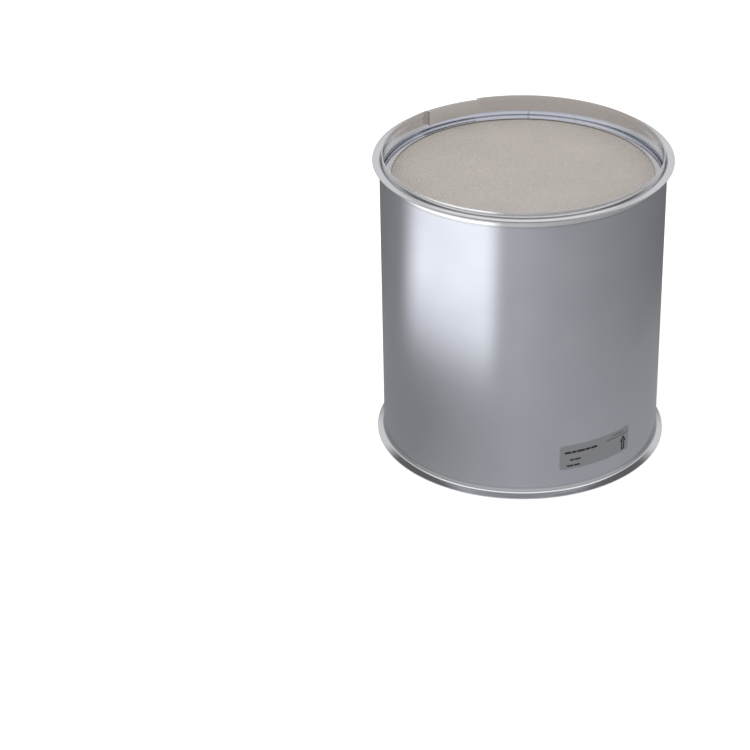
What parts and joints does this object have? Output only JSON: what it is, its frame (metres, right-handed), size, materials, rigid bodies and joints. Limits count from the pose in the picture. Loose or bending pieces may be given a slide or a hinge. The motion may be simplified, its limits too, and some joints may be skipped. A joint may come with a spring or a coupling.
{
  "type": "exhaust particulate filter canister",
  "caption": "Cylindrical stainless exhaust filter canister with a V-band flange and open recess at each end, a ceramic wall-flow filter inside and a pilot ring with one pocket at the outlet.",
  "frame": {"origin": "centre of the inlet flange's flat face, which is the lowest plane of the part", "axes": "+Z along the exhaust flow from inlet to outlet and along the can's axis; -Y to the front, with the label at the front right"},
  "size_m": [0.3356, 0.3356, 0.3519],
  "materials": {
    "satin_stainless": "satin, fine brushed round the can",
    "bright_stainless": "bright formed stainless, smooth",
    "planished_weld": "rolled flat weld, slightly matt",
    "knitted_wire": "knitted stainless wire, dull",
    "fibre_mat": "ceramic fibre mat, matt, off-white",
    "cordierite": "unglazed fired ceramic, matt, beige grey",
    "cement_skin": "ceramic cement, matt, beige grey",
    "label_foil": "satin metal foil with dark printed marks"
  },
  "bodies": {
    "root": {"shell": "satin_stainless", "shell_seam_weld": "planished_weld", "inlet_flange": "bright_stainless", "outlet_flange": "bright_stainless", "inlet_flange_weld": "planished_weld", "outlet_flange_weld": "planished_weld", "outlet_pilot_ring": "bright_stainless", "inlet_index_lugs": "bright_stainless", "inlet_retaining_ring": "bright_stainless", "outlet_retaining_ring": "bright_stainless", "inlet_ring_joint_weld": "planished_weld", "outlet_ring_joint_weld": "planished_weld", "inlet_mesh_seal": "knitted_wire", "outlet_mesh_seal": "knitted_wire", "support_mat": "fibre_mat", "filter_core": "cordierite", "filter_skin": "cement_skin", "inlet_plugs": "cordierite", "outlet_plugs": "cordierite", "id_label": "label_foil"}
  },
  "joints": []
}
